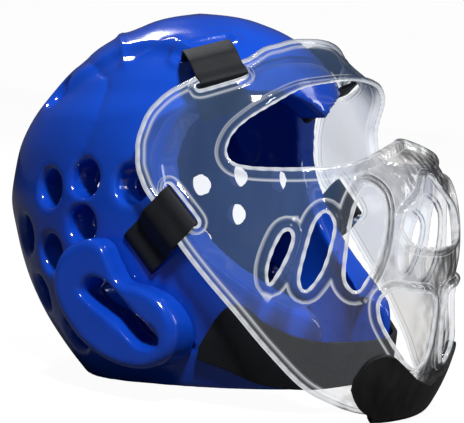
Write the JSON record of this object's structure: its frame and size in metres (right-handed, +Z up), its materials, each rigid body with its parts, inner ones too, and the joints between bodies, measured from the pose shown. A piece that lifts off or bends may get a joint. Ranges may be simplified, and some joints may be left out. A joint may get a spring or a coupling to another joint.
{
  "type": "boxing headgear",
  "caption": "Full dipped-foam boxing head guard with round vents, raised ear pads, a clear face shield with slots, a chin bumper and a chin strap.",
  "frame": {"origin": "middle of the footprint, on the level surface that the headgear rests on", "axes": "+Z up, the face looks along -Y, the wearer's right side is at -X"},
  "size_m": [0.2368, 0.3206, 0.2401],
  "materials": {
    "foam": "glossy dipped vinyl skin over foam",
    "shield": "clear polycarbonate",
    "rubber": "satin, ribbed",
    "webbing": "woven webbing"
  },
  "bodies": {
    "root": {"helmet_shell": "foam", "ear_pad_right": "foam", "ear_pad_left": "foam", "face_shield": "shield", "chin_bumper": "rubber", "chin_strap": "webbing", "strap_side_right": "webbing", "strap_side_left": "webbing", "strap_top_right": "webbing", "strap_top_left": "webbing"}
  },
  "joints": []
}
